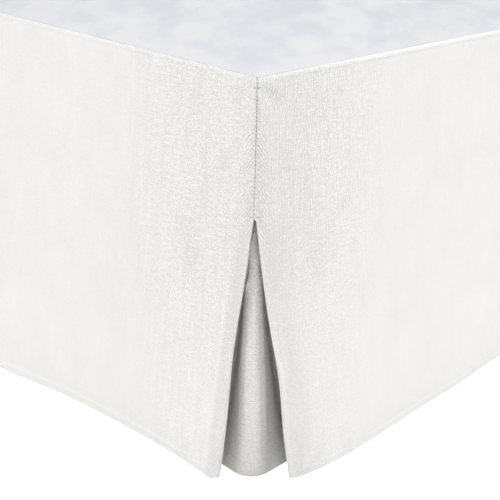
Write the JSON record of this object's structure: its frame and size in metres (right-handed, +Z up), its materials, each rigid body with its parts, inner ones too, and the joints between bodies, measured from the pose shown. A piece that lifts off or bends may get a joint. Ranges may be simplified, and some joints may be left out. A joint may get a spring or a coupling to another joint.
{
  "type": "bed skirt on a bed base",
  "caption": "Tailored linen bed skirt with a flat cotton deck, straight drops and split foot corners, hanging on a plain legged bed base.",
  "frame": {"origin": "centre of the bounding box, on the floor under the bed", "axes": "+Z up, +Y towards the head end, -Y towards the foot drop, +X towards the bed's right side seen from its foot"},
  "size_m": [1.5597, 2.0694, 0.3875],
  "materials": {
    "linen": "off-white slub linen, matte",
    "cotton": "smooth bluish-white cotton, matte",
    "ticking": "plain woven upholstery cloth",
    "leg_wood": "satin stained beech"
  },
  "bodies": {
    "root": {"deck_panel": "cotton", "drop_foot": "linen", "drop_side_right": "linen", "drop_side_left": "linen", "corner_insert_right": "linen", "corner_insert_left": "linen", "bed_base": "ticking", "leg_foot_left": "leg_wood", "leg_foot_right": "leg_wood", "leg_middle_left": "leg_wood", "leg_middle_right": "leg_wood", "leg_head_left": "leg_wood", "leg_head_right": "leg_wood"}
  },
  "joints": []
}
